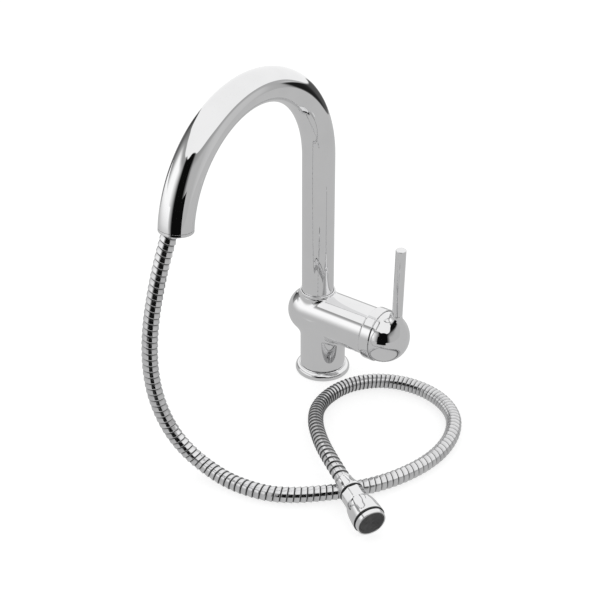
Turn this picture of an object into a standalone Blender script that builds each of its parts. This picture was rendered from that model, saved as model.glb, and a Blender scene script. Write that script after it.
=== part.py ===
"""Pull-out kitchen mixer: side lever on a horizontal barrel, high swivel spout and a spray head on a metal hose.

Units are metres and +Z is up. The origin is on the column's axis, in the plane that the base stands on.
The barrel lies along +X, and the spout reaches out along -Y.
"""

import math

import bmesh
import bpy
import numpy as np
from mathutils import Matrix, Vector

MM = 0.001
GAP = 0.3 * MM  # clearance kept between neighbouring pieces

# Base and body
FLANGE_RADIUS = 25.5 * MM
FLANGE_HEIGHT = 7.6 * MM
FLANGE_LIP = 3.8 * MM  # radius of the flange's rounded rim
GASKET_INNER, GASKET_OUTER, GASKET_HEIGHT = 18.6 * MM, 21.0 * MM, 1.2 * MM
COLUMN_RADIUS = 21.0 * MM
CHAMBER_RADIUS = 18.0 * MM  # hollow inside the column
CHAMBER_TOP = 44.0 * MM
BARREL_HEIGHT = 61.3 * MM  # of the barrel's axis over the deck
BARREL_RADIUS = 22.5 * MM
BARREL_END = 56.0 * MM  # the open end, where the trim collar sits
BARREL_DOME = -12.5 * MM  # centre of the barrel's round closed end

# Cartridge, measured along the barrel's axis
BORE_RADIUS = 18.2 * MM
BORE_FLOOR = 40.0 * MM
CARTRIDGE_RADIUS = 17.6 * MM
CARTRIDGE_SHOULDER = 49.0 * MM
CARTRIDGE_NECK = 15.8 * MM
CARTRIDGE_FRONT = 61.5 * MM
CAVITY_RADIUS = 13.9 * MM
BASE_DISC_AT, DISC_THICKNESS = 42.1 * MM, 3.4 * MM
PORT_RADIUS = 2.9 * MM
PORT_OFFSET = 8.2 * MM  # of each water port from the barrel's axis
NUT_LENGTH = 4.9 * MM

# Handle
PIVOT = 68.5 * MM  # centre of the ball along the barrel's axis
BALL_RADIUS = 23.6 * MM
BALL_WALL = 3.3 * MM
BALL_REAR = 7.8 * MM  # distance of the ball's rear cut from its centre
TILT_RANGE = math.radians(22)
COLLAR_RADIUS = 24.7 * MM
COLLAR_END = 66.5 * MM
COLLAR_NECK_INNER, COLLAR_NECK_OUTER = 20.6 * MM, 21.5 * MM  # of the rim that enters the barrel
COLLAR_NECK_LENGTH = 2.4 * MM
LEVER_RADIUS = 4.8 * MM
LEVER_REACH = 13.3 * MM  # the lever's axis lies this far outside the ball's centre
LEVER_FOOT, LEVER_TIP = 89.2 * MM, 156.6 * MM
LEVER_LEAN = math.radians(1.3)
STEM_RADIUS = 3.6 * MM
STEM_TIP = 51.0 * MM

# Spout
SPOUT_X = -6.2 * MM  # the spout's leg stands off the column's axis
SPOUT_RADIUS = 14.75 * MM
SPOUT_WALL = 1.5 * MM
SOCKET_FLOOR = 64.0 * MM
BEARING_FLOOR = 47.0 * MM
BOSS_RADIUS, BOSS_TOP = 16.5 * MM, 82.4 * MM
COLLAR_RING_TOP = 85.2 * MM
LEG_TOP = 221.8 * MM  # where the arch begins
ARCH_RADIUS = 97.1 * MM
ARCH_ANGLE = math.radians(170.5)
MOUTH_TURN = math.radians(173.5)  # the mouth points this far round from the leg
MOUTH_LENGTH = 3.0 * MM
GUIDE_RADIUS = 11.9 * MM
FOOT_BORE = 7.9 * MM
FOOT_STEM = 11.0 * MM
FOOT_NECK = 9.7 * MM  # of the foot where it passes the casting's floor

# Hose and spray head
HOSE_RADIUS = 7.0 * MM
INNER_HOSE_END = 22.0 * MM
FACE = Vector((177.3, -177.6, 13.15)) * MM  # centre of the spray face
HEAD_YAW = math.radians(61.5)
HEAD_DIP = math.radians(8.5)
FERRULE_BACK, FERRULE_FRONT = 52.0 * MM, 38.3 * MM  # distances behind the spray face
OCTAGON_BACK, BELL_BACK, BELL_FRONT = 36.3 * MM, 24.4 * MM, 5.6 * MM
OCTAGON_RADIUS = 10.7 * MM
BELL_RADIUS = 13.9 * MM
AERATOR_RADIUS = 11.3 * MM

# The free hose, from the spout's mouth to the ferrule, in millimetres.
HOSE_ROUTE = (
    (-8.6, -195.1, 238.0), (-11.3, -198.2, 224.0), (-15.6, -203.0, 201.0), (-19.4, -207.3, 176.0),
    (-22.3, -210.8, 151.0), (-23.8, -213.0, 126.0), (-23.5, -213.6, 101.0), (-20.8, -212.2, 77.0),
    (-15.2, -208.9, 54.5), (-6.6, -204.6, 35.2), (5.4, -200.0, 20.4), (21.4, -197.0, 11.0),
    (41.0, -196.6, 7.2), (62.0, -195.4, 7.2), (82.0, -190.3, 7.2), (100.0, -179.6, 7.2),
    (117.3, -163.6, 7.2), (134.0, -145.2, 7.2), (148.3, -124.1, 7.2), (158.6, -101.3, 7.2),
    (164.9, -76.7, 7.2), (166.0, -51.5, 7.2), (160.8, -26.8, 7.2), (148.3, -4.6, 7.2),
    (127.9, 10.2, 7.2), (103.5, 16.0, 7.2), (78.6, 12.7, 7.2), (57.3, 0.4, 7.2),
    (43.0, -19.8, 7.2), (38.6, -44.0, 7.2), (43.6, -68.0, 9.0), (57.2, -90.0, 12.6),
    (75.7, -110.6, 17.3), (94.0, -127.5, 21.3), (109.5, -139.4, 23.2), (121.6, -147.2, 22.5),
    (131.9, -152.9, 20.9),
)
HOSE_POINTS = 60

TURN_STEPS = 24


def clear_scene():
    for obj in list(bpy.data.objects):
        bpy.data.objects.remove(obj, do_unlink=True)


def collection(name, hidden=False):
    made = bpy.data.collections.new(name)
    made.hide_render = hidden
    bpy.context.scene.collection.children.link(made)
    return made


clear_scene()
PARTS = collection("pull_out_faucet")
CUTTERS = collection("cutters", hidden=True)


def finish_material(name, colour, roughness, metallic):
    material = bpy.data.materials.new(name)
    material.use_nodes = True
    shader = material.node_tree.nodes["Principled BSDF"]
    shader.inputs["Base Color"].default_value = (*colour, 1)
    shader.inputs["Roughness"].default_value = roughness
    shader.inputs["Metallic"].default_value = metallic
    return material


def chrome(name):
    return finish_material(name + "_chrome", (0.78, 0.78, 0.79), 0.06, 1)


def brass(name):
    return finish_material(name + "_brass", (0.78, 0.6, 0.3), 0.3, 1)


def steel(name):
    return finish_material(name + "_steel", (0.6, 0.6, 0.61), 0.3, 1)


def rubber(name):
    return finish_material(name + "_rubber", (0.015, 0.015, 0.015), 0.6, 0)


def plastic(name, shade=0.75):
    return finish_material(name + "_plastic", (shade, shade, shade), 0.4, 0)


def ceramic(name):
    return finish_material(name + "_ceramic", (0.88, 0.87, 0.84), 0.25, 0)


def place(obj, matrix, material=None, cutter=False):
    """Puts an object in its collection and at its place. A cutter is drawn as a wire and left out of the model."""
    obj.matrix_world = matrix
    (CUTTERS if cutter else PARTS).objects.link(obj)
    if cutter:
        obj.hide_render = True
        obj.display_type = "WIRE"
    elif material:
        obj.data.materials.append(material)
    return obj


def upright(x=0.0, y=0.0, z=0.0):
    return Matrix.Translation((x, y, z))


def along(start, direction):
    """A frame at start whose Z axis points along direction."""
    turn = Vector((0, 0, 1)).rotation_difference(Vector(direction)).to_matrix().to_4x4()
    return Matrix.Translation(start) @ turn


def barrel_frame(x=0.0):
    return along((x, 0, BARREL_HEIGHT), (1, 0, 0))


def turned(name, profile, frame, material=None, steps=TURN_STEPS, cutter=False):
    """Turns an outline of (radius, height) points, listed down the outer side and back up, about the frame's Z."""
    mesh = bpy.data.meshes.new(name)
    points = [(radius, 0, height) for radius, height in profile]
    closed = min(radius for radius, _ in profile) > 0
    edges = [(i, i + 1) for i in range(len(points) - 1)] + ([(len(points) - 1, 0)] if closed else [])
    mesh.from_pydata(points, edges, [])
    obj = bpy.data.objects.new(name, mesh)
    screw = obj.modifiers.new("turn", "SCREW")
    screw.steps = screw.render_steps = steps
    screw.use_merge_vertices = True
    screw.merge_threshold = 1e-6
    screw.use_smooth_shade = True
    return place(obj, frame, material, cutter)


def ring(name, inner, outer, low, high, frame, material=None, edge=0.0, steps=TURN_STEPS):
    """A flat ring between two radii and two heights, with its outer edges chamfered by edge."""
    profile = [(inner, high), (outer - edge, high), (outer, high - edge)]
    profile += [(outer, low + edge), (outer - edge, low), (inner, low)]
    if edge == 0:
        profile = [(inner, high), (outer, high), (outer, low), (inner, low)]
    return turned(name, profile, frame, material, steps)


def rod(name, radius, low, high, frame, material=None, steps=TURN_STEPS, cutter=False):
    """A solid cylinder between two heights of the frame."""
    form = bmesh.new()
    bmesh.ops.create_cone(form, cap_ends=True, segments=steps, radius1=radius, radius2=radius, depth=high - low)
    bmesh.ops.translate(form, verts=form.verts, vec=(0, 0, (low + high) / 2))
    mesh = bpy.data.meshes.new(name)
    form.to_mesh(mesh)
    form.free()
    return place(bpy.data.objects.new(name, mesh), frame, material, cutter)


def torus(name, major, minor, frame, material, steps=16, sides=6):
    """An O-ring of the two radii round the frame's Z axis."""
    angles = [-2 * math.pi * i / sides for i in range(sides)]
    profile = [(major + minor * math.cos(a), minor * math.sin(a)) for a in angles]
    return turned(name, profile, frame, material, steps)


def combine(obj, other, operation):
    """Joins another shape to an object, or cuts it out, with a Boolean modifier."""
    step = obj.modifiers.new(operation.lower(), "BOOLEAN")
    step.operation = operation
    step.object = other
    return obj


def arc(centre, radius, start, end, count):
    """Points on a circle in a profile's plane, from one angle in degrees to another."""
    angles = np.radians(np.linspace(start, end, count))
    return [(centre[0] + radius * math.cos(a), centre[1] + radius * math.sin(a)) for a in angles]


def tube(name, points, radius, material, resolution=2, wall=0.0):
    """A round tube along a list of points: solid with capped ends or, with a wall, hollow and open."""
    curve = bpy.data.curves.new(name, "CURVE")
    curve.dimensions = "3D"
    curve.bevel_depth = radius
    curve.bevel_resolution = resolution
    curve.use_fill_caps = wall == 0
    spline = curve.splines.new("POLY")
    spline.points.add(len(points) - 1)
    for slot, point in zip(spline.points, points):
        slot.co = (*point, 1)
    obj = place(bpy.data.objects.new(name, curve), Matrix.Identity(4), material)
    if wall:
        shell = obj.modifiers.new("wall", "SOLIDIFY")
        shell.thickness = wall
        shell.offset = -1
        shell.use_even_offset = True
    return obj


def smooth_route(points, count):
    """Evenly spaced points on a Catmull-Rom curve through the given ones."""
    points = np.array(points, float)
    ends = np.vstack([2 * points[0] - points[1], points, 2 * points[-1] - points[-2]])
    t = np.linspace(0, 1, 40, endpoint=False)[:, None]
    pieces = []
    for a, b, c, d in zip(ends, ends[1:], ends[2:], ends[3:]):
        pieces.append(0.5 * (2 * b + (c - a) * t + (2 * a - 5 * b + 4 * c - d) * t**2
                             + (3 * b - a - 3 * c + d) * t**3))
    curve = np.vstack(pieces + [points[-1:]])
    travelled = np.concatenate([[0], np.cumsum(np.linalg.norm(np.diff(curve, axis=0), axis=1))])
    wanted = np.linspace(0, travelled[-1], count)
    return np.stack([np.interp(wanted, travelled, curve[:, i]) for i in range(3)], axis=1)


def base():
    """The flange ring on the deck, and the gasket let into its underside."""
    recess = GASKET_HEIGHT + GAP
    rim = (FLANGE_RADIUS - FLANGE_LIP, FLANGE_LIP)
    profile = [(CHAMBER_RADIUS, FLANGE_HEIGHT), (COLUMN_RADIUS + 0.6 * MM, FLANGE_HEIGHT)]
    profile += arc(rim, FLANGE_LIP, 80, -78, 7)
    profile += [(GASKET_OUTER + GAP, 0), (GASKET_OUTER + GAP, recess), (GASKET_INNER - GAP, recess)]
    profile += [(GASKET_INNER - GAP, 0), (CHAMBER_RADIUS, 0)]
    turned("base_flange", profile, upright(), chrome("base_flange"), 36)
    ring("base_gasket", GASKET_INNER, GASKET_OUTER, 0, GASKET_HEIGHT, upright(), rubber("base_gasket"), steps=32)


def inlet_places():
    """(name, x, y, radius) of the water fittings in the column, behind the hose."""
    return (
        ("hot_inlet_nipple", 10.6 * MM, 8.7 * MM, 4.1 * MM),
        ("cold_inlet_nipple", 10.6 * MM, -8.7 * MM, 4.1 * MM),
        ("mixed_outlet_nipple", 11.8 * MM, 0.0, 3.5 * MM),
    )


def port_places():
    """(y, z) of the hot, cold and mixed ports in the cartridge's base, about the barrel's axis."""
    return ((PORT_OFFSET, 0.0), (-PORT_OFFSET, 0.0), (0.0, -PORT_OFFSET))


def body():
    """Column and barrel in one casting, bored for the spout, the cartridge and the waterways between them."""
    dome = [(0.0, BARREL_END)] + [(BARREL_RADIUS, BARREL_END)]
    dome += arc((0, BARREL_DOME), BARREL_RADIUS, 0, -90, 8)[:-1] + [(0.0, BARREL_DOME - BARREL_RADIUS)]
    casting = turned("body_casting", dome, barrel_frame(), chrome("body_casting"), 36)
    column = rod("column_form", COLUMN_RADIUS, FLANGE_HEIGHT + GAP, BARREL_HEIGHT, upright(), steps=36, cutter=True)
    boss = rod("boss_form", BOSS_RADIUS, BARREL_HEIGHT, BOSS_TOP, upright(SPOUT_X), steps=32, cutter=True)
    combine(casting, column, "UNION")
    combine(casting, boss, "UNION")
    spout_axis = upright(SPOUT_X)
    holes = [
        rod("chamber_cut", CHAMBER_RADIUS, 0, CHAMBER_TOP, upright(), steps=32, cutter=True),
        rod("spout_neck_cut", FOOT_NECK + GAP, CHAMBER_TOP - MM, SOCKET_FLOOR, spout_axis, cutter=True),
        rod("spout_bore_cut", FOOT_STEM + 1.6 * MM, BEARING_FLOOR, SOCKET_FLOOR + MM, spout_axis, cutter=True),
        rod("spout_socket_cut", SPOUT_RADIUS + GAP, SOCKET_FLOOR, BOSS_TOP + MM, spout_axis, cutter=True),
        rod("boss_top_cut", BOSS_RADIUS + GAP, BOSS_TOP, BOSS_TOP + BARREL_RADIUS, spout_axis, steps=32, cutter=True),
        rod("cartridge_bore_cut", BORE_RADIUS, BORE_FLOOR, BARREL_END + MM, barrel_frame(), steps=32, cutter=True),
        rod("collar_recess_cut", COLLAR_NECK_OUTER + GAP, BARREL_END - COLLAR_NECK_LENGTH - GAP, BARREL_END + MM,
            barrel_frame(), steps=36, cutter=True),
    ]
    for (name, x, y, radius), (port_y, port_z) in zip(inlet_places(), port_places()):
        rise = BARREL_HEIGHT + port_z + PORT_RADIUS * 0.8
        holes.append(rod(name + "_rise_cut", PORT_RADIUS, CHAMBER_TOP - MM, rise, upright(x, y), steps=12, cutter=True))
        level = along((x, port_y, BARREL_HEIGHT + port_z), (1, 0, 0))
        reach = BORE_FLOOR + MM - x
        holes.append(rod(name + "_level_cut", PORT_RADIUS - 0.2 * MM, -1.5 * MM, reach, level, steps=12, cutter=True))
    for hole in holes:
        combine(casting, hole, "DIFFERENCE")


def water_fittings():
    """Short brass nipples under the casting's waterways, open through their length."""
    for name, x, y, radius in inlet_places():
        ring(name, radius - 1.3 * MM, radius, 14 * MM, CHAMBER_TOP - GAP, upright(x, y), brass(name), 0.4 * MM, 16)


def cartridge():
    """Housing, seals and fixed disc in the barrel's bore, with the nut that clamps them."""
    frame = barrel_frame()
    rear = BORE_FLOOR + 0.4 * MM
    front_hole = 11.1 * MM
    profile = [(front_hole, CARTRIDGE_FRONT), (CARTRIDGE_NECK, CARTRIDGE_FRONT)]
    profile += [(CARTRIDGE_NECK, CARTRIDGE_SHOULDER), (CARTRIDGE_RADIUS, CARTRIDGE_SHOULDER)]
    profile += [(CARTRIDGE_RADIUS, rear), (CAVITY_RADIUS, rear)]
    profile += [(CAVITY_RADIUS, CARTRIDGE_FRONT - 1.6 * MM), (front_hole, CARTRIDGE_FRONT - 1.6 * MM)]
    turned("cartridge_housing", profile, frame, plastic("cartridge_housing"), 32)
    nut_back = CARTRIDGE_SHOULDER + GAP
    inner = CARTRIDGE_NECK + GAP
    ring("cartridge_nut", inner, BORE_RADIUS - GAP, nut_back, nut_back + NUT_LENGTH, frame, brass("cartridge_nut"),
         steps=32)
    disc = rod("fixed_disc", CAVITY_RADIUS - GAP, BASE_DISC_AT, BASE_DISC_AT + DISC_THICKNESS, frame,
               ceramic("fixed_disc"))
    for index, (y, z) in enumerate(port_places()):
        at = along((0, y, BARREL_HEIGHT + z), (1, 0, 0))
        hole = rod(f"disc_port_cut_{index + 1}", PORT_RADIUS - 0.2 * MM, BASE_DISC_AT - MM,
                   BASE_DISC_AT + DISC_THICKNESS + MM, at, steps=12, cutter=True)
        combine(disc, hole, "DIFFERENCE")
        seal_at = along(((BORE_FLOOR + BASE_DISC_AT) / 2, y, BARREL_HEIGHT + z), (1, 0, 0))
        seal_name = ("hot_port_seal", "cold_port_seal", "mixed_port_seal")[index]
        torus(seal_name, PORT_RADIUS + 0.9 * MM, 0.78 * MM, seal_at, rubber(seal_name), 12)


def trim_collar():
    """The collar round the ball: its inside follows the ball, and a short neck enters the barrel's bore."""
    socket = BALL_RADIUS + GAP
    back = BARREL_END + GAP
    neck_end = BARREL_END - COLLAR_NECK_LENGTH
    round_edge = 1.6 * MM
    rim_angle = math.degrees(math.asin((PIVOT - COLLAR_END) / socket))
    back_angle = math.degrees(math.acos(COLLAR_NECK_INNER / socket))
    profile = [(COLLAR_RADIUS - 0.3 * MM, COLLAR_END), (COLLAR_RADIUS, COLLAR_END - 0.5 * MM)]
    profile += arc((COLLAR_RADIUS - round_edge, back + round_edge), round_edge, 0, -90, 4)
    profile += [(COLLAR_NECK_OUTER, back), (COLLAR_NECK_OUTER, neck_end), (COLLAR_NECK_INNER, neck_end)]
    profile += arc((0, PIVOT), socket, -back_angle, -rim_angle, 5)
    turned("trim_collar", profile, barrel_frame(), chrome("trim_collar"), 36)


def cartridge_rotor():
    """What turns with the handle inside the cartridge: the rotor, its pivot pin, the carrier and the moving disc."""
    frame = barrel_frame(PIVOT)
    bore = 8.6 * MM
    neck, shoulder = 10.7 * MM, 59.5 * MM - PIVOT
    front, rear = 4.0 * MM, 53.9 * MM - PIVOT
    profile = [(bore, front), (neck, front), (neck, shoulder), (CAVITY_RADIUS - GAP, shoulder)]
    profile += [(CAVITY_RADIUS - GAP, rear), (bore, rear)]
    rotor = turned("cartridge_rotor", profile, frame, plastic("cartridge_rotor", 0.5))
    pin_radius = 1.4 * MM
    cross = along((PIVOT, 0, BARREL_HEIGHT), (0, 1, 0))
    combine(rotor, rod("rotor_pin_cut", pin_radius + GAP, -neck - MM, neck + MM, cross, steps=12, cutter=True),
            "DIFFERENCE")
    rod("stem_pivot_pin", pin_radius, -neck + GAP, neck - GAP, cross, steel("stem_pivot_pin"), 12)
    travel = (PIVOT - STEM_TIP) * math.sin(TILT_RANGE)
    disc_radius = CAVITY_RADIUS - travel / 2 - GAP
    slid = along((PIVOT, 0, BARREL_HEIGHT - travel / 2), (1, 0, 0))
    disc_back = BASE_DISC_AT + DISC_THICKNESS + GAP - PIVOT
    disc_front = disc_back + 2.9 * MM
    disc = rod("moving_disc", disc_radius, disc_back, disc_front, slid, ceramic("moving_disc"))
    pocket = rod("mixing_pocket_cut", 6.6 * MM, disc_back - MM, disc_back + 1.5 * MM, slid, cutter=True)
    combine(disc, pocket, "DIFFERENCE")
    carrier = rod("disc_carrier", disc_radius, disc_front + GAP, rear - GAP, slid, plastic("disc_carrier", 0.2))
    drive = rod("carrier_drive_cut", 3.0 * MM, STEM_TIP - 1.2 * MM, 60 * MM, barrel_frame(), steps=12, cutter=True)
    combine(carrier, drive, "DIFFERENCE")


def stem():
    """The spindle: a tip that drives the carrier, a hub round the pivot pin and a shank into the ball."""
    tip, throat = 2.2 * MM, 2.0 * MM
    hub = 5.2 * MM
    start = STEM_TIP - PIVOT
    profile = [(0.0, 17.0 * MM), (STEM_RADIUS, 17.0 * MM), (STEM_RADIUS, 4.4 * MM), (hub, 4.4 * MM)]
    profile += [(hub, -4.4 * MM), (throat, -5.4 * MM), (throat, start + 2.6 * MM), (tip, start + 1.6 * MM)]
    profile += [(tip, start + 0.6 * MM), (0.0, start)]
    spindle = turned("handle_stem", profile, barrel_frame(PIVOT), steel("handle_stem"), 16)
    cross = along((PIVOT, 0, BARREL_HEIGHT), (0, 1, 0))
    combine(spindle, rod("stem_pin_cut", 1.7 * MM, -8 * MM, 8 * MM, cross, steps=12, cutter=True), "DIFFERENCE")


def handle():
    """The hollow ball with its stem socket and lever neck, the lever pin and the grub screw."""
    frame = barrel_frame(PIVOT)
    inside = BALL_RADIUS - BALL_WALL
    boss, boss_start, socket, socket_end = 6.5 * MM, 11.0 * MM, STEM_RADIUS + GAP, 17.6 * MM
    boss_angle = math.degrees(math.acos(boss / inside))
    open_angle = -40
    profile = [(0.0, BALL_RADIUS)] + arc((0, 0), BALL_RADIUS, 90, open_angle, 14)[1:]
    profile += arc((0, 0), inside, open_angle, boss_angle, 7)
    profile += [(boss, boss_start), (socket, boss_start), (socket, socket_end), (0.0, socket_end)]
    ball = turned("handle_ball", profile, frame, chrome("handle_ball"), 32)
    rear = Matrix.Translation((PIVOT, 0, BARREL_HEIGHT)) @ Matrix.Rotation(-TILT_RANGE / 2, 4, "Y")
    behind = rear @ along((0, 0, 0), (1, 0, 0))
    combine(ball, rod("ball_rear_cut", 2 * BALL_RADIUS, -3 * BALL_RADIUS, -BALL_REAR, behind, steps=32, cutter=True),
            "DIFFERENCE")
    axis = (math.sin(LEVER_LEAN), 0, math.cos(LEVER_LEAN))
    lever_x = PIVOT + LEVER_REACH
    foot = along((lever_x, 0, LEVER_FOOT), axis)
    top = -GAP
    neck = [(0.0, top), (LEVER_RADIUS - 0.1 * MM, top), (LEVER_RADIUS, top - 0.4 * MM)]
    neck += [(LEVER_RADIUS + 0.4 * MM, -4.0 * MM), (LEVER_RADIUS + 1.5 * MM, -6.6 * MM)]
    neck += [(LEVER_RADIUS + 3.2 * MM, -9.0 * MM), (0.0, -9.6 * MM)]
    combine(ball, turned("lever_neck_form", neck, foot, steps=24, cutter=True), "UNION")
    spigot = 2.6 * MM
    spigot_end = -8.0 * MM
    combine(ball, rod("lever_hole_cut", spigot + GAP, spigot_end - GAP, MM, foot, steps=16, cutter=True), "DIFFERENCE")
    length = (LEVER_TIP - LEVER_FOOT) / math.cos(LEVER_LEAN)
    edge = 0.7 * MM
    pin = [(0.0, length), (LEVER_RADIUS - edge, length), (LEVER_RADIUS, length - edge), (LEVER_RADIUS, 0)]
    pin += [(spigot, 0), (spigot, spigot_end), (0.0, spigot_end)]
    turned("lever_pin", pin, foot, chrome("lever_pin"), 24)
    screw_radius = 2.0 * MM
    screw_at = along((PIVOT + 14.3 * MM, 0, BARREL_HEIGHT), (0, 0, -1))
    combine(ball, rod("set_screw_cut", screw_radius + GAP, 0, BALL_RADIUS, screw_at, steps=12, cutter=True),
            "DIFFERENCE")
    screw = rod("handle_set_screw", screw_radius, STEM_RADIUS + GAP, 9.5 * MM, screw_at, steel("handle_set_screw"), 12)
    combine(screw, rod("hex_socket_cut", 1.1 * MM, 7.0 * MM, 12 * MM, screw_at, steps=6, cutter=True), "DIFFERENCE")


def hang(name, frame, *pieces):
    """Parents pieces to an empty on their joint's axis, so that they turn about it, and leaves them where they are."""
    axis = place(bpy.data.objects.new(name, None), frame)
    for piece in pieces:
        obj = bpy.data.objects[piece]
        obj.parent = axis
        obj.matrix_parent_inverse = frame.inverted()


def arch_point(angle, offset=0.0):
    """A point of the spout's arch, that far to the side of its centre line."""
    radius = ARCH_RADIUS + offset
    return (SPOUT_X, -ARCH_RADIUS + radius * math.cos(angle), LEG_TOP + radius * math.sin(angle))


def mouth_frame():
    """A frame where the bent tube ends, with Z pointing out of the mouth."""
    way = Vector((0, -math.sin(MOUTH_TURN), math.cos(MOUTH_TURN)))
    return along(Vector(arch_point(ARCH_ANGLE)) + way * 3 * MM, way)


def spout():
    """The bent tube, its foot and bearings in the body, and the ring and bush at its mouth."""
    foot = SOCKET_FLOOR + 1.6 * MM
    path = [(SPOUT_X, 0, foot), (SPOUT_X, 0, LEG_TOP - 20 * MM)]
    path += [arch_point(angle) for angle in np.linspace(0, ARCH_ANGLE, 22)]
    path += [tuple(mouth_frame().translation)]
    tube("spout_tube", path, SPOUT_RADIUS, chrome("spout_tube"), 8, SPOUT_WALL)
    axis = upright(SPOUT_X)
    ring("spout_collar_ring", SPOUT_RADIUS + GAP, BOSS_RADIUS - 0.1 * MM, BOSS_TOP + GAP, COLLAR_RING_TOP, axis,
         chrome("spout_collar_ring"), 0.5 * MM, 32)
    ring("spout_thrust_washer", FOOT_STEM + GAP, SPOUT_RADIUS - GAP, SOCKET_FLOOR + GAP, foot - GAP, axis,
         plastic("spout_thrust_washer", 0.85))
    sleeve, groove = SPOUT_RADIUS - SPOUT_WALL - GAP, FOOT_NECK - 0.8 * MM
    clip_low, clip_high = CHAMBER_TOP - 2.2 * MM, CHAMBER_TOP - 0.6 * MM
    step = BEARING_FLOOR + GAP
    profile = [(FOOT_BORE, foot + 18 * MM), (sleeve, foot + 18 * MM), (sleeve, foot), (FOOT_STEM, foot)]
    profile += [(FOOT_STEM, step), (FOOT_NECK, step), (FOOT_NECK, clip_high), (groove, clip_high)]
    profile += [(groove, clip_low), (FOOT_NECK, clip_low), (FOOT_NECK, clip_low - 1.8 * MM)]
    profile += [(FOOT_BORE, clip_low - 1.8 * MM)]
    turned("spout_foot", profile, axis, brass("spout_foot"))
    bearing_inner, bearing_outer = FOOT_STEM + GAP, FOOT_STEM + 1.6 * MM - GAP
    for name, low in (("lower_slip_ring", BEARING_FLOOR + GAP), ("upper_slip_ring", SOCKET_FLOOR - 6 * MM)):
        ring(name, bearing_inner, bearing_outer, low, low + 4 * MM, axis, plastic(name, 0.85), steps=24)
    clip = ring("spout_retaining_clip", groove + GAP, 11.4 * MM, clip_low + GAP, clip_high - GAP, axis,
                steel("spout_retaining_clip"), steps=24)
    slot = rod("clip_slot_cut", 1.6 * MM, 6 * MM, 14 * MM,
               along((SPOUT_X, 0, (clip_low + clip_high) / 2), (-1, 0, 0)), steps=8, cutter=True)
    combine(clip, slot, "DIFFERENCE")
    mouth = mouth_frame()
    edge = 1.1 * MM
    lip = [(SPOUT_RADIUS - SPOUT_WALL, MOUTH_LENGTH), (SPOUT_RADIUS - edge, MOUTH_LENGTH)]
    lip += [(SPOUT_RADIUS - 0.3 * edge, MOUTH_LENGTH - 0.3 * edge), (SPOUT_RADIUS, MOUTH_LENGTH - edge)]
    lip += [(SPOUT_RADIUS, GAP), (SPOUT_RADIUS - SPOUT_WALL, GAP)]
    turned("mouth_ring", lip, mouth, chrome("mouth_ring"), 32)
    ring("mouth_guide", GUIDE_RADIUS, GUIDE_RADIUS + 0.9 * MM, -4.5 * MM, MOUTH_LENGTH - 0.4 * MM, mouth,
         plastic("mouth_guide", 0.25), steps=32)


def inner_hose_path(start, way):
    """Up from the inlet nut, round the arch and across to where the free hose starts, in its direction."""
    last = start - way * GAP
    before = last - way * 3 * MM
    side = Vector((before.x - SPOUT_X, 0, 0))
    end_angle = math.pi - math.atan2(before.z - LEG_TOP, -(before.y + ARCH_RADIUS))
    reach = math.hypot(before.z - LEG_TOP, before.y + ARCH_RADIUS) - ARCH_RADIUS
    points = [Vector((SPOUT_X, 0, z)) for z in np.linspace(INNER_HOSE_END, LEG_TOP, 10)[:-1]]
    for angle in np.linspace(0, end_angle, 26):
        share = max(0.0, 1 - (end_angle - angle) * ARCH_RADIUS / (70 * MM))
        share = share * share * (3 - 2 * share)
        points.append(Vector(arch_point(angle, reach * share)) + side * share)
    return points + [last]


def hoses():
    """The hose inside the spout with its inlet nut, and the free hose from the mouth to the ferrule."""
    route = [Vector(point) * MM for point in smooth_route(HOSE_ROUTE, HOSE_POINTS)]
    way = (route[1] - route[0]).normalized()
    tube("inner_hose", inner_hose_path(route[0], way), HOSE_RADIUS, chrome("inner_hose"))
    nut = rod("hose_inlet_nut", 9.6 * MM, 6 * MM, INNER_HOSE_END - GAP, upright(SPOUT_X), brass("hose_inlet_nut"), 6)
    combine(nut, rod("inlet_nut_cut", 5.2 * MM, 0, 16 * MM, upright(SPOUT_X), steps=16, cutter=True), "DIFFERENCE")
    tube("free_hose", route, HOSE_RADIUS, chrome("free_hose"))


def head_frame():
    """A frame at the spray face, with Z pointing out of it."""
    level = math.cos(HEAD_DIP)
    return along(FACE, (level * math.sin(HEAD_YAW), -level * math.cos(HEAD_YAW), -math.sin(HEAD_DIP)))


def hose_end():
    """The flared ferrule on the hose's end, the nipple through it and the seal that the head swivels on."""
    frame = head_frame()
    bore = 4.6 * MM
    outer = [(bore, -FERRULE_FRONT), (10.1 * MM, -FERRULE_FRONT), (10.2 * MM, -FERRULE_FRONT - 1.2 * MM)]
    outer += [(9.3 * MM, -43.0 * MM), (8.0 * MM, -47.5 * MM), (7.5 * MM, -50.0 * MM)]
    outer += [(7.4 * MM, -FERRULE_BACK), (bore, -FERRULE_BACK)]
    turned("hose_ferrule", outer, frame, chrome("hose_ferrule"))
    nipple = bore - GAP
    ring("hose_nipple", nipple - 1.3 * MM, nipple, -FERRULE_BACK + 0.4 * MM, -OCTAGON_BACK + 6.6 * MM, frame,
         brass("hose_nipple"), 0.3 * MM, 16)
    ring("swivel_seal_ring", nipple + GAP, 10.5 * MM, -FERRULE_FRONT + GAP, -OCTAGON_BACK - GAP, frame,
         rubber("swivel_seal_ring"), 0.3 * MM)


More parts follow.
